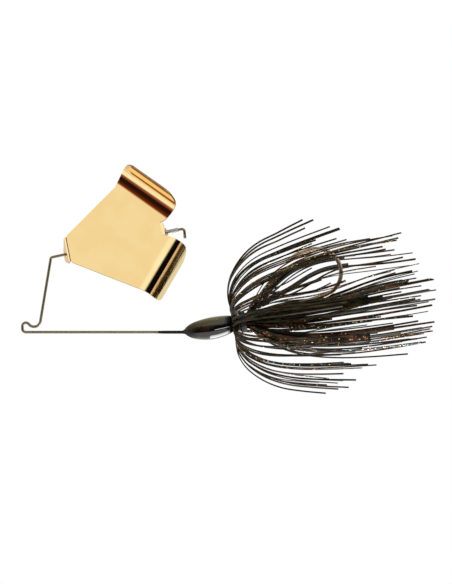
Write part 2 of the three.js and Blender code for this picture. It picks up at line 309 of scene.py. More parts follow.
def goldBlade():  # mirror gold anodising on thin aluminium
    material, shader, nodes = newMaterial("goldBlade", Metallic=1.0)
    place = nodes.place((900, 900, 900))
    marks = useGroup(nodes, scratchGroup, Vector=place, Scale=1.0)
    cloud = nodes.noise(0.16, detail=2, vector=place)
    tone = nodes.mix(nodes.remap(cloud.outputs["Fac"], 0.35, 0.65),
                     (0.93, 0.70, 0.335, 1), (0.95, 0.73, 0.375, 1))
    nodes.put(shader, "Base Color", tone)
    rough = nodes.scaled(marks.outputs["Smudge"], 0.03, 0.035)
    nodes.put(shader, "Roughness", rough)
    bumpFrom(nodes, shader, cloud.outputs["Fac"], 0.05, 0.00012)
    return material


def cutEdge():  # sheared edge of the blade, duller than its faces
    material, shader, nodes = newMaterial("cutEdge", Metallic=1.0)
    marks = useGroup(nodes, scratchGroup, Vector=nodes.place((2500, 2500, 2500)), Scale=1.0)
    nodes.put(shader, "Base Color", nodes.mix(marks.outputs["Marks"], (0.50, 0.37, 0.20, 1),
                                              (0.30, 0.20, 0.10, 1)))
    rough = nodes.scaled(marks.outputs["Marks"], 0.15, 0.28)
    nodes.put(shader, "Roughness", rough)
    bumpFrom(nodes, shader, marks.outputs["Marks"], 0.03, 0.00001)
    return material


def springWire():  # drawn stainless wire, painted black where the head's paint ran forward
    material, shader, nodes = newMaterial("springWire", Specular_IOR_Level=0.15)
    place = nodes.place((300, 2500, 2500))
    marks = useGroup(nodes, scratchGroup, Vector=place, Scale=1.0)
    steel = nodes.mix(marks.outputs["Marks"], (0.33, 0.295, 0.205, 1), (0.28, 0.25, 0.175, 1))
    coordinates = nodes.add("ShaderNodeTexCoord")
    axes = nodes.add("ShaderNodeSeparateXYZ")
    nodes.tree.links.new(coordinates.outputs["Object"], axes.inputs[0])
    ragged = nodes.noise(900, detail=3, vector=coordinates.outputs["Object"])
    wander = nodes.math("MULTIPLY", nodes.math("SUBTRACT", ragged.outputs["Fac"], 0.5), 0.006)
    along = nodes.math("ADD", axes.outputs["X"], wander)
    behind = nodes.math("GREATER_THAN", along, head["paintRunFrom"] * mm)
    low = nodes.math("LESS_THAN", axes.outputs["Z"], 0.002)
    paint = nodes.math("MULTIPLY", behind, low)
    nodes.put(shader, "Base Color", nodes.mix(paint, steel, (0.02, 0.02, 0.014, 1)))
    nodes.put(shader, "Metallic", nodes.math("SUBTRACT", 1.0, paint))
    rough = nodes.scaled(marks.outputs["Marks"], 0.05, 0.3)
    nodes.put(shader, "Roughness", rough)
    bumpFrom(nodes, shader, nodes.math("ADD", marks.outputs["Marks"], paint), 0.03, 0.00001)
    return material


def bronzedHook():  # lacquered bronze finish on a forged hook
    material, shader, nodes = newMaterial("bronzedHook", Metallic=1.0, Coat_Weight=0.35,
                                          Coat_Roughness=0.12)
    place = nodes.place((700, 1800, 700))
    marks = useGroup(nodes, scratchGroup, Vector=place, Scale=1.0)
    tone = nodes.mix(marks.outputs["Marks"], (0.48, 0.385, 0.28, 1), (0.36, 0.275, 0.19, 1))
    worn = nodes.math("MULTIPLY", marks.outputs["Smudge"], 0.5)
    tone = nodes.mix(worn, tone, (0.52, 0.42, 0.31, 1))
    nodes.put(shader, "Base Color", tone)
    rough = nodes.scaled(marks.outputs["Smudge"], 0.14, 0.24)
    nodes.put(shader, "Roughness", rough)
    bumpFrom(nodes, shader, marks.outputs["Marks"], 0.15, 0.00004)
    return material


def rivetMetal():  # plain aluminium, as upset
    material, shader, nodes = newMaterial("rivetMetal", Metallic=1.0)
    place = nodes.place((2200, 700, 700))
    marks = useGroup(nodes, scratchGroup, Vector=place, Scale=1.0)
    nodes.put(shader, "Base Color", nodes.mix(marks.outputs["Marks"], (0.52, 0.51, 0.48, 1),
                                              (0.45, 0.44, 0.41, 1)))
    rough = nodes.scaled(marks.outputs["Marks"], 0.06, 0.32)
    nodes.put(shader, "Roughness", rough)
    bumpFrom(nodes, shader, marks.outputs["Marks"], 0.03, 0.00001)
    return material


def headPaintAndSheen():  # gloss black paint on cast lead, with a painted sheen: olive along the back stands for the overhead light's reflection
    material, shader, nodes = newMaterial("headPaintAndSheen", Coat_Roughness=0.03, Specular_IOR_Level=0.3)
    coordinates = nodes.add("ShaderNodeTexCoord")
    axes = nodes.add("ShaderNodeSeparateXYZ")
    nodes.tree.links.new(coordinates.outputs["Object"], axes.inputs[0])

    def along(place, before, after):
        start, end = paintAndSheenPlaces[place]
        return nodes.remap(axes.outputs["X"], start * mm, end * mm, before, after)

    lift = nodes.math("MULTIPLY", axes.outputs["X"], -math.tan(math.radians(head["heading"])))
    height = nodes.math("ADD", axes.outputs["Z"], lift)
    cloud = nodes.noise(450, detail=3, vector=coordinates.outputs["Object"])
    ragged = nodes.math("MULTIPLY", nodes.math("SUBTRACT", cloud.outputs["Fac"], 0.5), 0.0022)
    level = nodes.math("ADD", height, ragged)
    noseLevel = (head["nose"][1] - head["nose"][0] * math.tan(math.radians(head["heading"]))) * mm
    # painted sheen: above the head's axis, with a ragged edge, the colour turns olive for the
    # overhead light's reflection; below it the near-black paint stays
    olive = nodes.remap(level, noseLevel - 0.0008, noseLevel + 0.0016)
    olive = nodes.math("MULTIPLY", olive, along("sheenEnd", 1.0, 0.0))
    fleck = nodes.noise(900, detail=3, vector=coordinates.outputs["Object"])
    # the painted sheen brightens towards the rear; the rusty flecks mixed into it are the paint's own
    sheenWithFlecks = nodes.mix(along("sheenBrightens", 0.0, 1.0), (0.034, 0.034, 0.016, 1),
                      (0.080, 0.078, 0.046, 1))
    rusty = nodes.math("MULTIPLY", nodes.remap(fleck.outputs["Fac"], 0.52, 0.62),
                       along("rustyEnd", 1.0, 0.0))
    sheenWithFlecks = nodes.mix(rusty, sheenWithFlecks, (0.085, 0.042, 0.014, 1))
    nodes.put(shader, "Base Color", nodes.mix(olive, (0.004, 0.004, 0.0035, 1), sheenWithFlecks))
    lowHalf = nodes.remap(height, noseLevel, noseLevel + 0.0006, 1.0, 0.2)
    glossy = nodes.math("MULTIPLY", along("gloss", 0.1, 1.0), lowHalf)
    nodes.put(shader, "Coat Weight", glossy)
    rough = nodes.scaled(cloud.outputs["Fac"], 0.06, 0.1)
    nodes.put(shader, "Roughness", nodes.math("ADD", rough, along("dullEnd", 0.5, 0.0)))
    bumpFrom(nodes, shader, cloud.outputs["Fac"], 0.12, 0.0002)
    return material


def bandRubber():  # the black rubber band under the skirt
    material, shader, nodes = newMaterial("bandRubber", Specular_IOR_Level=0.35)
    grain = nodes.noise(4000, detail=3, vector=nodes.place((1, 1, 1)))
    nodes.put(shader, "Base Color", nodes.mix(grain.outputs["Fac"], (0.010, 0.010, 0.009, 1),
                                              (0.026, 0.024, 0.020, 1)))
    rough = nodes.scaled(grain.outputs["Fac"], 0.2, 0.45)
    nodes.put(shader, "Roughness", rough)
    bumpFrom(nodes, shader, grain.outputs["Fac"], 0.3, 0.0001)
    return material


def silicone(name, dark, light, brown, flakes=None, density=0.0):  # strand silicone with its flecks
    material, shader, nodes = newMaterial(name, Specular_IOR_Level=0.14)
    place = nodes.place((260, 900, 900))
    cloud = nodes.noise(1.0, detail=3, vector=place)
    colour = nodes.mix(nodes.remap(cloud.outputs["Fac"], 0.42, 0.66), dark, light)
    rust = nodes.noise(1.0, detail=2, vector=nodes.place((110, 420, 420)))
    colour = nodes.mix(nodes.remap(rust.outputs["Fac"], 0.53, 0.62), colour, brown)
    rough = nodes.scaled(cloud.outputs["Fac"], 0.2, 0.26)
    if flakes:
        found = useGroup(nodes, flakeGroup, Vector=nodes.place((1500, 1500, 1500)), Density=density)
        ramp = nodes.add("ShaderNodeValToRGB")
        ramp.color_ramp.interpolation = "CONSTANT"
        while len(ramp.color_ramp.elements) < len(flakes):
            ramp.color_ramp.elements.new(0.5)
        for index, flake in enumerate(flakes):
            ramp.color_ramp.elements[index].position = index / len(flakes)
            ramp.color_ramp.elements[index].color = flake
        nodes.tree.links.new(found.outputs["Hue"], ramp.inputs["Fac"])
        colour = nodes.mix(found.outputs["Flake"], colour, ramp.outputs["Color"])
        nodes.put(shader, "Metallic", nodes.math("MULTIPLY", found.outputs["Flake"], 0.85))
        rough = nodes.math("SUBTRACT", rough, nodes.math("MULTIPLY", found.outputs["Flake"], 0.1))
    nodes.put(shader, "Base Color", colour)
    nodes.put(shader, "Roughness", rough)
    bumpFrom(nodes, shader, cloud.outputs["Fac"], 0.2, 0.0001)
    return material


wire = {
    "radius": 0.5, "tieBend": 1.3, "kink": 2.3, "kinkHeading": -47, "uprightHeading": 80.6,
    "upright": 22.6, "corner": 1.0, "shaftHeading": 12.25, "shaft": 47.4, "stopBend": 0.9,
    "stopTurn": -98, "stopLeg": 2.5, "insideLeg": 2.6, "insideBend": 0.9, "joggle": 25,
    "joggleBend": 1.5, "joggleRun": 1.93, "paintFilm": 0.07,
}
head = {
    "heading": 10, "nose": (56.4, -1.4), "length": 18.6, "barrel": 1.9, "barrelEnd": 25.4,
    "ring": 2.2, "belly": 0.45, "paintRunFrom": 46.8, "sides": 64,
}
paintAndSheenPlaces = {  # start and end of each change in the paint and in its painted sheen, along the lure
    "sheenEnd": (70.3, 72.2), "sheenBrightens": (60.0, 68.0), "rustyEnd": (62.5, 66.5),
    "gloss": (58.5, 62.5), "dullEnd": (58.5, 61.5),
}
hookSize = {
    "radius": 0.75, "eye": (66, -0.75), "eyeRing": 1.4, "eyeWire": 0.42, "heading": 16.9,
    "shank": 41.1, "bend": 8.64, "turn": 184, "pointLeg": 4.6, "point": 3.6,
}


def wireLine():
    inner = [[wire["insideLeg"], -90, wire["insideBend"]],
             [0.9, -wire["joggle"], wire["joggleBend"]],
             [wire["joggleRun"], wire["joggle"], wire["joggleBend"]]]
    trial = bentLine((hookSize["eye"][0], 0), -90, inner)
    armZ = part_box("wire_frame")[0].z / mm + wire["radius"]  # the leg inside the head is lowest
    lowest = min(point.z for point in trial)
    startZ = armZ - lowest
    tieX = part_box("wire_frame")[0].x / mm + wire["radius"] + wire["tieBend"]
    runs = [*inner,
            [trial[-1].x - tieX, -90, wire["tieBend"]],
            [0.8, wire["kinkHeading"] - 90, wire["tieBend"]],
            [0.4, wire["uprightHeading"] - wire["kinkHeading"], wire["kink"]],
            [wire["upright"], wire["shaftHeading"] - wire["uprightHeading"], wire["corner"]],
            [wire["shaft"], wire["stopTurn"], wire["stopBend"]],
            [wire["stopLeg"], 0, 0]]
    return bentLine((hookSize["eye"][0], startZ), -90, runs)


def buildWire():
    line = wireLine()
    paintFrom = head["paintRunFrom"]
    radii = [(wire["radius"] + (wire["paintFilm"] * smoothstep(paintFrom, paintFrom + 3, point.x)
                                if point.z < 2 else 0)) * mm for point in line]
    end = line[-1]
    tangent = (line[-1] - line[-2]).normalized()
    line = line[:-1] + [end - tangent * 0.12, end - tangent * 0.04, end]  # the cut end is eased
    radii = radii[:-1] + [wire["radius"] * share * mm for share in (1, 0.93, 0.78)]
    verts, faces = [], []
    skin(roundRings(toMetres(line), radii, 28), verts, faces)
    piece = makePiece("wireFrame", verts, faces, [springWire()])
    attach(piece, "lure")
    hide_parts("wire_frame")
    print("wire frame", len(verts))


def headProfile():  # [radius, distance along the axis], nose to barrel
    knots = [(0.62, -0.6), (0.74, -0.1), (1.05, 0.35), (1.6, 0.95), (2.4, 2.2), (3.1, 4),
             (3.65, 6.4), (3.98, 9.6), (3.86, 12.8), (3.42, 15.8), (2.82, 17.8), (2.45, 18.4),
             (1.95, 18.6)]
    line = smoothCurve([Vector((r, t, 0)) for r, t in knots], 6)
    profile = [(p.x, p.y) for p in line]
    barrel, ring = head["barrel"], head["ring"]
    profile += [(barrel, 18.75), (barrel, 23.2), (barrel + 0.08, 23.4), (ring, 23.7), (ring, 24.25),
                (barrel + 0.08, 24.5), (barrel, 24.7), (barrel, 25.2),
                (barrel - 0.12, head["barrelEnd"])]
    return profile


def buildHead():
    turn = Matrix.Rotation(-math.radians(head["heading"]), 4, "Y")
    nose = Vector((head["nose"][0], 0, head["nose"][1])) * mm
    rings = []
    for radius, along in headProfile():
        share = min(max(along / head["length"], 0), 1)
        drop = head["belly"] * math.sin(math.pi * share)
        ring = []
        for side in range(head["sides"]):
            angle = 2 * math.pi * side / head["sides"]
            offset = Vector((along, radius * math.cos(angle), radius * math.sin(angle) - drop))
            ring.append(turn @ (offset * mm) + nose)
        rings.append(ring)
    verts, faces = [], []
    skin(rings, verts, faces)
    piece = makePiece("leadHead", verts, faces, [headPaintAndSheen()])
    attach(piece, "lure")
    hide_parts("lead_head")
    print("head", len(verts))


def buildHook():
    heading = math.radians(hookSize["heading"])
    eye = Vector((hookSize["eye"][0], 0, hookSize["eye"][1]))
    along = Vector((math.cos(heading), 0, math.sin(heading)))
    start = eye + along * hookSize["eyeRing"]
    line = bentLine((start.x, start.z), hookSize["heading"],
                    [[hookSize["shank"], hookSize["turn"], hookSize["bend"]],
                     [hookSize["pointLeg"], 0, 0]], stepDegrees=4)
    pointWay = (line[-1] - line[-2]).normalized()
    radius = hookSize["radius"] * mm
    radii = [radius] * len(line)
    flat = [1.0] * len(line)
    bendFrom = len(line) - 1 - math.ceil(hookSize["turn"] / 4) - 2
    for index in range(len(line)):  # the bend is forged a little flatter from the sides
        share = (index - bendFrom) / (len(line) - bendFrom)
        flat[index] = 1 - 0.16 * math.sin(math.pi * share) if 0 < share < 1 else 1.0
    for step in range(1, 9):  # the point tapers with a slight hollow
        share = step / 8
        line.append(line[-1] + pointWay * hookSize["point"] / 8)
        radii.append(radius * max(0.03, (1 - share) ** 0.8))
        flat.append(1.0)
    verts, faces = [], []
    skin(roundRings(toMetres(line), radii, 24, flat), verts, faces)
    ringPoints = 40
    count = len(verts)
    for step in range(ringPoints):  # closed eye ring
        angle = 2 * math.pi * step / ringPoints
        out = along * math.cos(angle) + right * math.sin(angle)
        up = along.cross(right)
        for side in range(14):
            around = 2 * math.pi * side / 14
            reach = hookSize["eyeRing"] + hookSize["eyeWire"] * math.cos(around)
            verts.append((eye + out * reach + up * hookSize["eyeWire"] * math.sin(around)) * mm)
            nextStep = (step + 1) % ringPoints
            nextSide = (side + 1) % 14
            faces.append((count + step * 14 + side, count + nextStep * 14 + side,
                          count + nextStep * 14 + nextSide, count + step * 14 + nextSide))
    barbRoot = line[-9] - pointWay * 0.4
    inward = Vector((pointWay.z, 0, -pointWay.x))  # from the point leg towards the shank
    barbLine = [barbRoot + pointWay * 1.4 + inward * 0.2, barbRoot + inward * 0.5,
                barbRoot - pointWay * 1.1 + inward * 1.02]
    skin(roundRings(toMetres(barbLine), [0.42 * mm, 0.36 * mm, 0.03 * mm], 10), verts, faces)
    piece = makePiece("hook", verts, faces, [bronzedHook()])
    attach(piece, "lure")
    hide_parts("hook")
    print("hook", len(verts))


blade = {
    "sheet": 0.6, "offset": 4.2, "turn": 20, "noseX": 0.75, "noseHalf": 5.2,
    "foldStart": (23.2, 20.5), "foldEnd": (37.7, 3.6), "rearX": 36.3, "rearHalf": 2.4,
    "frontHalf": 4.7, "frontTip": 3.0,
    "hole": 0.75, "bend": 6.3, "arc": 80, "lip": 3.2, "ease": 2.4, "innerCorner": (4.8, 6.4),
    "outerCorner": (3.2, 7.0), "innerFlare": 0.7, "leftFlare": 0.9, "rightFlare": -0.5,
    "tabBend": 0.9, "frontLean": 14, "weld": 0.02, "brokenEdge": 0.1,
}
joints = frame["record"]["behaviour"]["joints"]
spin = next(joint for joint in joints if joint["name"] == "blade_spin")
shaftOrigin = Vector(spin["pos_m"])
shaftWay = Vector(spin["axis"]).normalized()


def onShaft(x, y, z, turned=0.0):  # from the blade's own frame, in mm, to the lure's
    across = shaftWay.cross(right) * -1  # upwards, square to the shaft
    up = -across if across.z < 0 else across
    angle = math.radians(turned)
    awayY = y * math.cos(angle) + z * math.sin(angle)
    acrossZ = -y * math.sin(angle) + z * math.cos(angle)
    return shaftOrigin + (shaftWay * x + right * awayY + up * acrossZ) * mm


def tabPoints(half, depth, tip):  # outline round the hole, from the fold's left end
    points = [Vector((-half + 2 * half * step / 10, -depth)) for step in range(11)]
    shoulder = Vector((half, -depth + 0.9))
    side = Vector((tip, 0.0))
    points += [shoulder.lerp(side, step / 4) for step in range(5)]
    points += [Vector((tip * math.cos(a), tip * math.sin(a)))
               for a in (math.pi * step / 12 for step in range(1, 12))]
    side, shoulder = Vector((-tip, 0.0)), Vector((-half, -depth + 0.9))
    points += [side.lerp(shoulder, step / 4) for step in range(5)]
    return points


def addTab(verts, faces, foldX, half, tip, forward, lean):  # forward: -1 nose, 1 rear
    bend = blade["tabBend"]
    turnBy = math.radians(90 - lean)
    centreX = foldX - forward * bend
    rows = 9
    columns = [-half + 2 * half * step / 10 for step in range(11)]
    start = len(verts)
    for row in range(rows):
        angle = turnBy * row / (rows - 1)
        x = centreX + forward * bend * math.sin(angle)
        y = -blade["offset"] + bend * (1 - math.cos(angle))
        verts.extend((x, y, z) for z in columns)
    for row in range(rows - 1):
        for column in range(10):
            here = start + row * 11 + column
            quad = (here, here + 1, here + 12, here + 11)
            faces.append(quad if forward < 0 else quad[::-1])
    rimX, rimY = verts[-1][0], verts[-1][1]
    slope = math.radians(lean)
    depth = -rimY / math.cos(slope)
    outline = tabPoints(half, depth, tip)
    first = len(verts)
    for level in (1.0, 0.5, 0.0):
        for point in outline:
            inner = point.normalized() * blade["hole"]
            p = inner.lerp(point, level)
            up = p.y + depth
            verts.append((rimX + forward * up * math.sin(slope), rimY + up * math.cos(slope), p.x))
    count = len(outline)
    for level in range(2):
        for index in range(count):
            here = first + level * count + index
            beside = first + level * count + (index + 1) % count
            quad = (here, beside, beside + count, here + count)
            faces.append(quad if forward < 0 else quad[::-1])


def curledTo(place):  # where the sheet is after it has eased into the bend and left it for the lip
    ease = blade["ease"]
    flat, lift, angle = 0.0, 0.0, 0.0
    steps = 60
    for step in range(steps):
        along = place * (step + 0.5) / steps
        if along < ease:
            angle = along ** 2 / (2 * ease * blade["bend"])
        else:
            angle = (along - ease / 2) / blade["bend"]
        angle = min(angle, math.radians(blade["arc"]))
        flat += math.cos(angle) * place / steps
        lift += math.sin(angle) * place / steps
    return flat, lift


def addWing(verts, faces, side):  # side 1 curls to the left of the lure, -1 to the right
    start = Vector(blade["foldStart"])
    run = Vector(blade["foldEnd"]) - start
    width = run.length
    along = run.normalized()
    outward = Vector((-along.y, along.x))
    length = blade["bend"] * math.radians(blade["arc"]) + blade["ease"] / 2 + blade["lip"]
    start -= outward * blade["ease"] / 2

    def cut(place, corner, flare):  # the blank flares past the fold and has round corners
        across, down = corner
        beyond = max(0, place - length + down) / down
        swell = flare * math.sin(math.pi * min(place / length, 1)) ** 0.8
        return across * (1 - math.sqrt(max(1 - beyond ** 2, 0))) - swell

    turning = blade["outerCorner"][1]
    plain = length - turning
    stations = [plain * step / 26 for step in range(26)]
    stations += [plain + turning * math.sin(math.pi / 2 * step / 24) for step in range(25)]
    columns = 25
    outerFlare = blade["leftFlare"] if side > 0 else blade["rightFlare"]
    first = len(verts)
    for place in stations:
        flat, lift = curledTo(place)
        low = cut(place, blade["outerCorner"], outerFlare)
        high = width - cut(place, blade["innerCorner"], blade["innerFlare"])
        for column in range(columns):
            across = low + (high - low) * column / (columns - 1)
            spot = start + along * across + outward * flat
            verts.append((spot.x, -blade["offset"] - side * lift, side * spot.y))
    for row in range(len(stations) - 1):
        for column in range(columns - 1):
            here = first + row * columns + column
            quad = (here, here + 1, here + columns + 1, here + columns)
            faces.append(quad[::-1] if side > 0 else quad)
    return columns


def buildBlade():
    verts, faces = [], []
    columns = addWing(verts, faces, 1)
    addWing(verts, faces, -1)
    bend = blade["tabBend"]
    frontHalf, rearHalf = blade["frontHalf"], blade["rearHalf"]
    addTab(verts, faces, blade["noseX"], frontHalf, blade["frontTip"], -1, blade["frontLean"])
    addTab(verts, faces, blade["rearX"], rearHalf, rearHalf, 1, 0)
    start, end = Vector(blade["foldStart"]), Vector(blade["foldEnd"])
    run = (end - start).normalized()
    back = Vector((run.y, -run.x)) * blade["ease"] / 2
    start, end = start + back, end + back
    upper = [start.lerp(end, column / (columns - 1)) for column in range(columns)]
    noseX = blade["noseX"] + bend
    rearX = blade["rearX"] - bend
    front = [(noseX, -frontHalf + 2 * frontHalf * step / 10) for step in range(11)]
    rear = [(rearX, -rearHalf + 2 * rearHalf * step / 10) for step in range(11)]
    notch = (rearX + 0.3, rearHalf + 0.3)
    outline = [(noseX, -blade["noseHalf"])]
    outline += [(p.x, -p.y) for p in upper]
    outline += [(notch[0], -notch[1]), *rear, notch]
    outline += [(p.x, p.y) for p in reversed(upper)]
    outline += [(noseX, blade["noseHalf"])]
    outline += front[::-1]
    first = len(verts)
    verts.extend((x, -blade["offset"], z) for x, z in outline)
    faces.append(tuple(range(first, len(verts))))
    placed = [onShaft(*v, turned=blade["turn"]) for v in verts]
    piece = makePiece("buzzBlade", placed, faces, [goldBlade(), cutEdge()])
    faceOutwards(piece, weld=blade["weld"] * mm)
    thick = piece.modifiers.new("thickness", "SOLIDIFY")
    thick.thickness = blade["sheet"] * mm
    thick.offset = 0
    thick.use_even_offset = True
    thick.material_offset_rim = 1
    edge = piece.modifiers.new("brokenEdge", "BEVEL")
    edge.width = blade["brokenEdge"] * mm
    edge.segments = 2
    edge.limit_method = "ANGLE"
    edge.angle_limit = math.radians(50)
    edge.harden_normals = True
    even = piece.modifiers.new("evenShading", "WEIGHTED_NORMAL")
    even.keep_sharp = True
    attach(piece, "blade")
    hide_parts("buzz_blade")
    print("blade", len(piece.data.vertices))


rivet = {
    "length": 4.4, "flange": 1.7, "flangeThick": 0.4, "barrel": 0.82, "bore": 0.56, "gap": 0.3,
    "sides": 48,
}


def buildRivet():
    flangeAt = blade["rearX"] + blade["sheet"] / 2 + 0.06
    seat = 0.05  # the flange's face is dished a little
    rim, thick, tube, bore = rivet["flange"], rivet["flangeThick"], rivet["barrel"], rivet["bore"]
    length = rivet["length"] + rivet["gap"] - 0.1
    sides = rivet["sides"]
    profile = [(bore, seat), (bore + 0.25, 0), (rim - 0.12, 0), (rim, 0.12), (rim, thick - 0.12),
               (rim - 0.14, thick), (tube + 0.28, thick + 0.03), (tube + 0.07, thick + 0.16),
               (tube, thick + 0.4), (tube, length - 0.12), (tube - 0.06, length),
               (bore + 0.04, length), (bore, length - 0.08)]
    verts = []
    for radius, along in profile:
        for side in range(sides):
            angle = 2 * math.pi * side / sides
            across, up = radius * math.cos(angle), radius * math.sin(angle)
            verts.append(onShaft(flangeAt + along, across, up))
    piece = makePiece("rearRivet", verts, loopFaces(len(profile), sides), [rivetMetal()])
    faceOutwards(piece)
    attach(piece, "rivet")
    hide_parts("rear_rivet")
    print("rivet", len(verts))


skirt = {
    "seed": 14, "locks": 24, "perLock": 3, "grip": 2.45, "fanShare": 0.5, "width": (0.44, 0.78),
    "ribbonWidth": 0.78, "thickness": 0.32, "parting": 13, "gapCentre": (31, 9.8),
    "gapSize": (16, 6.0), "gapPush": 4.2, "swing": 6.0, "besideHook": (98, 166),
    "kindShares": (0.68, 0.21, 0.11),  # olive, copper, holographic
}
wideFront = [  # [along the axis, radius] of the widest and of the closest forward end
    (-2.6, 3.6), (-3.7, 8), (-3.3, 13), (-0.8, 18.4), (4.5, 23.8), (11.5, 28), (20, 30.9), (29, 33.4),
]
tightFront = [
    (-2.5, 3.5), (-2.9, 5.6), (-1.2, 8.6), (3, 12), (10, 15.2), (21, 17.6), (34, 19.2), (47, 20.4),
]
ribbons = [  # strands still joined: [azimuth, end along the axis, end radius, strands, silicone]
    [60, 39, 18, 4, 0], [45, 40, 16.5, 3, 0], [174, 44, 8, 4, 0], [184, 49, 11, 3, 0],
    [160, 33, 8, 3, 1],
    [222, 51, 16, 3, 0], [221, 42, 19, 4, 1], [228, 53, 18, 2, 0], [122, 57, 24.5, 2, 2],
    [243, 60, 20, 2, 2], [118, 31, 19, 2, 1], [232, 36, 21, 2, 1], [200, 30, 10, 2, 1],
]


def skirtPlace():
    low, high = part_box("skirt_collar")
    centre = (low + high) / 2
    turn = Matrix.Rotation(-math.radians(head["heading"]), 4, "Y")
    return Matrix.Translation(centre) @ turn


def partHook(point):  # strands keep clear of the hook's plane and leave its gap open
    x, y, z = point
    radius = math.hypot(y, z)
    azimuth = math.degrees(math.atan2(z, y)) % 360
    fromHook = azimuth - 90
    if abs(fromHook) < 90:
        push = skirt["parting"] * math.exp(-abs(fromHook) / 30) * smoothstep(2, 18, x)
        azimuth += math.copysign(push, fromHook)
    y, z = radius * math.cos(math.radians(azimuth)), radius * math.sin(math.radians(azimuth))
    centreX, centreZ = skirt["gapCentre"]
    sizeX, sizeZ = skirt["gapSize"]
    away = (z - centreZ) / sizeZ
    near = math.exp(-((x - centreX) / sizeX) ** 2) * math.exp(-away ** 2)
    return Vector((x, y, z + skirt["gapPush"] * near * math.tanh(away * 3)))


def around(x, radius, azimuth):
    angle = math.radians(azimuth)
    return Vector((x, radius * math.cos(angle), radius * math.sin(angle)))


def frontPart(azimuth, rng, fan):  # from the grip forwards, out and back; listed from grip to tip
    spread = rng.uniform(0.55, 1.08) if fan else rng.uniform(-0.15, 0.55)
    if abs(math.cos(math.radians(azimuth))) < 0.6:  # above and below, most strands fan wide
        spread = rng.uniform(0.3, 1.12)
    cut = rng.uniform(0.84, 1.06) if fan else rng.uniform(0.92, 1.22)
    swing = rng.gauss(0, skirt["swing"])
    curl = rng.uniform(-1, 1)
    points = []
    for place, ((wideX, wideR), (tightX, tightR)) in enumerate(zip(wideFront, tightFront)):
        x = tightX + (wideX - tightX) * spread
        radius = tightR + (wideR - tightR) * spread
        if math.sin(math.radians(azimuth)) < -0.5:  # the lower half hangs a little closer
            radius = radius * 0.93 + 0.25
        share = place / (len(wideFront) - 1)
        points.append(around(x * (cut if x > 0 else 1), radius + curl * 1.5 * share ** 2,
                             azimuth + swing * share))
    return points


def rearPart(azimuth, reach, tipRadius, swing, curl):  # back from the grip, opening like a cone
    points = []
    fall = 12 + 4 * abs(curl)
    whole = 1 - math.exp(-reach / fall)
    for share in (0.06, 0.14, 0.26, 0.4, 0.58, 0.78, 1):
        x = 1.5 + reach * share
        opened = (1 - math.exp(-reach * share / fall)) / whole
        radius = skirt["grip"] + (tipRadius - skirt["grip"]) * opened
        radius += curl * 1.1 * math.sin(math.pi * share)
        points.append(around(x, max(radius, skirt["grip"]), azimuth + swing * share))
    return points


def strandLine(azimuth, rng, fan):
    front = frontPart(azimuth, rng, fan)
    share = rng.random()
    tipRadius = skirt["grip"] + 22 * share ** 0.7
    low, high = skirt["besideHook"]
    if low < azimuth < high:  # on the left, either close to the shank or above the bend
        tipRadius = 3 + 9 * share if share < 0.5 else 15 + 10 * share
    reach = 69 - 0.016 * tipRadius ** 2 - 12 * rng.random() ** 2
    rear = rearPart(azimuth, reach, tipRadius, rng.gauss(0, skirt["swing"]), rng.uniform(-1, 1))
    grip = [around(x, skirt["grip"], azimuth) for x in (-1.6, 0, 1.5)]
    line = smoothCurve([*front[::-1], *grip, *rear], 5)
    return [partHook(point) if point.x > 1 else point for point in line]


def stripSection(strands, halfWidth, halfThick):  # outline of strands lying edge to edge
    width = 2 * halfWidth / strands
    top = []
    for strand in range(strands):
        centre = -halfWidth + width * (strand + 0.5)
        shoulder = 0.5 * width - (0.34 * halfThick if strands == 1 else 0.1 * width)
        top += [(centre - shoulder, 1.0), (centre + shoulder, 1.0)]
        if strand < strands - 1:
            top.append((centre + width / 2, 0.45))
    side = [(halfWidth, 0.55), (halfWidth, -0.55)]
    bottom = [(across, -level) for across, level in reversed(top)]
    other = [(-halfWidth, -0.55), (-halfWidth, 0.55)]
    return [(across, level * halfThick) for across, level in (*top, *side, *bottom, *other)]


def strandSkin(line, strands, width, twist, verts, faces):  # a flat strip that turns as it goes
    rings = []
    total = len(line) - 1
    for index, point in enumerate(line):
        tangent = (line[min(index + 1, total)] - line[max(index - 1, 0)]).normalized()
        radial = Vector((0, point.y, point.z))
        across = Vector((1, 0, 0)).cross(radial)
        across = (across - across.dot(tangent) * tangent).normalized()
        share = index / total
        angle = twist * math.copysign(smoothstep(0.1, 1.0, abs(share - 0.5) * 2), share - 0.5)
        thick = tangent.cross(across)
        across, thick = (across * math.cos(angle) + thick * math.sin(angle),
                         thick * math.cos(angle) - across * math.sin(angle))
        opened = smoothstep(skirt["grip"] + 0.2, skirt["grip"] + 3.5, radial.length)
        halfWidth = 0.26 + (width * strands / 2 - 0.26) * opened
        rings.append([point + across * a + thick * b
                      for a, b in stripSection(strands, halfWidth, skirt["thickness"] / 2)])
    skin(rings, verts, faces)


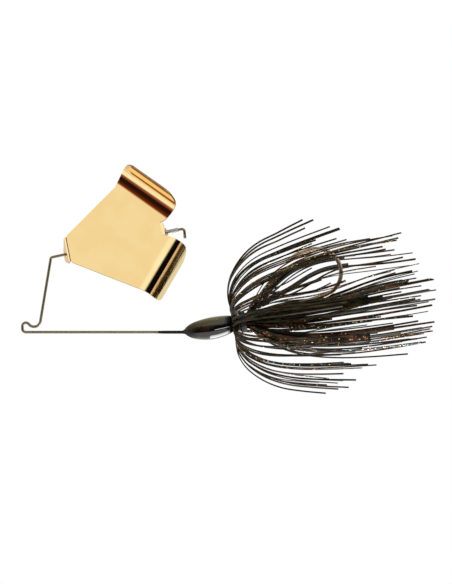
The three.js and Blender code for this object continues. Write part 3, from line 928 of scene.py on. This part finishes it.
def buildSkirt():
    rng = random.Random(skirt["seed"])
    place = skirtPlace()
    olive = silicone("oliveStrand", (0.006, 0.0055, 0.0015, 1), (0.056, 0.050, 0.013, 1),
                     (0.048, 0.025, 0.008, 1))
    copper = silicone("copperStrand", (0.007, 0.004, 0.002, 1), (0.055, 0.030, 0.010, 1),
                      (0.13, 0.055, 0.02, 1),
                      [(0.40, 0.19, 0.08, 1), (0.55, 0.36, 0.16, 1), (0.16, 0.06, 0.025, 1)], 0.26)
    holo = silicone("holoStrand", (0.007, 0.005, 0.003, 1), (0.050, 0.036, 0.016, 1),
                    (0.10, 0.06, 0.02, 1),
                    [(0.80, 0.66, 0.26, 1), (0.55, 0.14, 0.07, 1), (0.22, 0.62, 0.60, 1),
                     (0.80, 0.78, 0.70, 1), (0.60, 0.32, 0.13, 1)], 0.4)
    bundles = [([], [], []) for _ in range(skirt["locks"])]
    for index, (verts, faces, faceMaterials) in enumerate(bundles):
        azimuth = -90 + 360 * (index + 0.5) / skirt["locks"]
        for strand in range(skirt["perLock"]):
            line = strandLine(azimuth + (strand - 1) * 5, rng, rng.random() < skirt["fanShare"])
            before = len(faces)
            strandSkin(line, 1, rng.uniform(*skirt["width"]), rng.uniform(-1.5, 1.5), verts, faces)
            kind = rng.choices((0, 1, 2), skirt["kindShares"])[0]
            faceMaterials += [kind] * (len(faces) - before)
    for azimuth, reach, tipRadius, strands, kind in ribbons:
        lock = round((azimuth + 90) / 360 * skirt["locks"] - 0.5) % skirt["locks"]
        verts, faces, faceMaterials = bundles[lock]
        rear = rearPart(azimuth, reach, tipRadius, rng.uniform(-4, 4), rng.uniform(-0.6, 0.6))
        grip = [around(x, skirt["grip"] + 0.3, azimuth) for x in (-1.2, 0.4, 1.6)]
        line = smoothCurve([*grip, *rear], 5)
        line = [partHook(point) if point.x > 1 else point for point in line]
        before = len(faces)
        strandSkin(line, strands, skirt["ribbonWidth"], rng.uniform(-0.35, 0.35), verts, faces)
        faceMaterials += [kind] * (len(faces) - before)
    for index, (verts, faces, faceMaterials) in enumerate(bundles):
        placed = [place @ (vert * mm) for vert in verts]
        piece = makePiece(f"skirtLock{index + 1:02d}", placed, faces, [olive, copper, holo],
                          faceMaterials)
        crisp = piece.modifiers.new("flatFaces", "WEIGHTED_NORMAL")
        crisp.weight = 80
        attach(piece, "lure")
        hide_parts(f"skirt_lock_{index + 1:02d}")
    print("skirt locks", skirt["locks"])


collar = {"inner": 2.95, "outer": 3.9, "half": 1.1, "section": 24, "sides": 96, "ripple": 0.012}


def buildCollar():
    place = skirtPlace()
    inner, outer, half = collar["inner"], collar["outer"], collar["half"]
    sides = collar["sides"]
    profile = []
    for step in range(collar["section"]):  # a soft rounded rectangle
        angle = 2 * math.pi * step / collar["section"]
        c, s = math.cos(angle), math.sin(angle)
        bulge = 1 / (abs(c) ** 5 + abs(s) ** 5) ** 0.2
        profile.append((half * c * bulge, (inner + outer) / 2 + (outer - inner) / 2 * s * bulge))
    verts = []
    for along, radius in profile:
        for side in range(sides):
            angle = 2 * math.pi * side / sides
            swell = 1 + collar["ripple"] * math.sin(angle * 11) * (radius > inner + 0.4)
            verts.append(place @ (Vector((along, radius * swell * math.cos(angle),
                                          radius * swell * math.sin(angle))) * mm))
    piece = makePiece("skirtCollar", verts, loopFaces(len(profile), sides), [bandRubber()])
    faceOutwards(piece)
    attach(piece, "lure")
    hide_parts("skirt_collar")
    print("collar", len(verts))


studio = {
    "distance": 0.9, "viewHeight": 0.2102, "centre": (0.0714, 0.01296), "floorBelow": 0.1,
    "floorRadius": 0.2, "floorSides": 96, "zenith": 0.4, "behind": 0.75, "fill": 0.5,
    "softBox": (0.965, 0.935, 0.87, 1), "softBoxRight": (1.08, 1.12, 1.15, 1),
    "sideWall": (1.05, 1.12, 1.2, 1), "copperStrip": (0.82, 0.62, 0.50, 1),
}
lamps = {  # place, the point it faces, width and height, watts, and whether only reflections see it
    "topSoftbox": ((0.0, 0.12, 0.8), (0.07, 0, 0.01), (0.3, 0.25), 9, False),
    "lowPanel": ((0.135, 0.022, -0.1), (0.135, 0.022, 0), (0.125, 0.085), 0.22, True),
    "lowStrip": ((0.175, -0.26, -0.1), (0.07, 0, 0.005), (0.15, 0.03), 0.12, True),
}


def buildCamera():
    data = bpy.data.cameras.new("camera")
    data.sensor_width = 36
    data.lens = 36 * studio["distance"] / studio["viewHeight"]
    data.clip_start = 0.01
    camera = bpy.data.objects.new("camera", data)
    camera.location = (studio["centre"][0], -studio["distance"], studio["centre"][1])
    camera.rotation_euler = (math.pi / 2, 0, 0)
    bpy.context.collection.objects.link(camera)
    bpy.context.scene.camera = camera


def areaLight(name, place, target, size, power, reflected):
    data = bpy.data.lights.new(name, "AREA")
    data.shape = "RECTANGLE"
    data.size, data.size_y = size
    data.energy = power
    lamp = bpy.data.objects.new(name, data)
    lamp.location = place
    lamp.visible_camera = False
    lamp.visible_diffuse = not reflected
    lamp.visible_glossy = reflected
    lamp.rotation_euler = (Vector(target) - Vector(place)).to_track_quat("-Z", "Y").to_euler()
    bpy.context.collection.objects.link(lamp)


def buildWorld():  # a soft box overhead, white sides and floor, and a dark room between them
    world = bpy.data.worlds.new("studio")
    world.use_nodes = True
    nodes = Nodes(world.node_tree)
    background = world.node_tree.nodes["Background"]
    coordinates = nodes.add("ShaderNodeTexCoord")
    axes = nodes.add("ShaderNodeSeparateXYZ")
    nodes.tree.links.new(coordinates.outputs["Generated"], axes.inputs[0])
    x, y, z = axes.outputs["X"], axes.outputs["Y"], axes.outputs["Z"]
    toLeft = nodes.math("MULTIPLY", x, -1.0)
    leftHalf = nodes.remap(toLeft, -0.05, 0.05)
    boxEdge = nodes.math("ADD", z, nodes.math("MULTIPLY", x, 0.23))
    overhead = nodes.mix(leftHalf, nodes.remap(boxEdge, 0.375, 0.465),
                         nodes.remap(boxEdge, 0.37, 0.56))
    overhead = nodes.math("MULTIPLY", overhead, nodes.remap(z, 0.74, 0.93, 1.0, studio["zenith"]))
    overhead = nodes.math("MULTIPLY", overhead, nodes.remap(y, 0.0, 0.4, 1.0, 0.55))
    leftSide = nodes.remap(toLeft, 0.785, 0.82)
    strip = nodes.math("MULTIPLY", nodes.remap(x, 0.84, 0.87), nodes.remap(x, 0.93, 0.96, 1.0, 0.0))
    behind = nodes.remap(y, 0.05, 0.3, 0.0, studio["behind"])
    below = nodes.remap(z, -0.62, -0.55, 1.0, 0.0)
    lit = overhead
    for mask in (leftSide, strip, behind, below):
        lit = nodes.math("MAXIMUM", lit, mask)
    room = nodes.add("ShaderNodeValToRGB")  # the dark room with its brown edges, towards the left
    stops = [(0.0, (0.004, 0.002, 0.001)), (0.22, (0.17, 0.05, 0.012)),
             (0.34, (0.15, 0.034, 0.008)), (0.42, (0.115, 0.017, 0.01)),
             (0.48, (0.06, 0.013, 0.01)), (0.54, (0.026, 0.009, 0.006)),
             (0.70, (0.02, 0.006, 0.002)), (0.74, (0.16, 0.05, 0.04)), (0.78, (0.32, 0.10, 0.08))]
    while len(room.color_ramp.elements) < len(stops):
        room.color_ramp.elements.new(0.5)
    for element, (position, colour) in zip(room.color_ramp.elements, stops):
        element.position = position
        element.color = (*colour, 1)
    nodes.tree.links.new(toLeft, room.inputs["Fac"])
    dark = nodes.mix(nodes.remap(x, 0.9, 0.94), room.outputs["Color"], (0.05, 0.022, 0.006, 1))
    brighter = nodes.remap(x, -0.14, 0.05)
    box = nodes.mix(brighter, studio["softBox"], studio["softBoxRight"])
    box = nodes.mix(leftSide, box, studio["sideWall"])
    box = nodes.mix(strip, box, studio["copperStrip"])
    warm = nodes.mix(nodes.remap(lit, 0.0, 0.45), dark, (0.45, 0.24, 0.13, 1))
    warm = nodes.mix(nodes.remap(lit, 0.4, 1.0), warm, box)
    seen = nodes.mix(leftHalf, nodes.mix(lit, dark, box), warm)
    path = nodes.add("ShaderNodeLightPath")
    nodes.tree.links.new(nodes.mix(path.outputs["Is Camera Ray"], seen, (1, 1, 1, 1)),
                         background.inputs["Color"])
    fill = nodes.math("MULTIPLY", path.outputs["Is Diffuse Ray"], studio["fill"] - 1)
    nodes.tree.links.new(nodes.math("ADD", fill, 1.0), background.inputs["Strength"])
    bpy.context.scene.world = world


def buildFloor():
    level = cadBox[0].z - studio["floorBelow"]
    centre = (cadBox[0] + cadBox[1]) / 2
    sides = studio["floorSides"]
    angles = [2 * math.pi * step / sides for step in range(sides)]
    verts = [(centre.x + studio["floorRadius"] * math.cos(angle),
              centre.y + studio["floorRadius"] * math.sin(angle), level) for angle in angles]
    material, shader, nodes = newMaterial("paleFloor", Emission_Strength=0.05, Roughness=0.8)
    shader.inputs["Emission Color"].default_value = (1, 1, 1, 1)
    grain = nodes.noise(30, detail=2, vector=nodes.place())
    nodes.put(shader, "Base Color", nodes.mix(grain.outputs["Fac"], (0.86, 0.86, 0.85, 1),
                                              (0.9, 0.9, 0.89, 1)))
    floor = makePiece("floor", verts, [tuple(range(sides))], [material], smooth=False)


buildCamera()
buildWorld()
buildFloor()
for lampName, lampValues in lamps.items():
    areaLight(lampName, *lampValues)
bpy.context.scene.view_settings.view_transform = "Standard"
print("studio ready")

buildWire()
buildHead()
buildHook()
buildBlade()
buildRivet()
buildCollar()
buildSkirt()
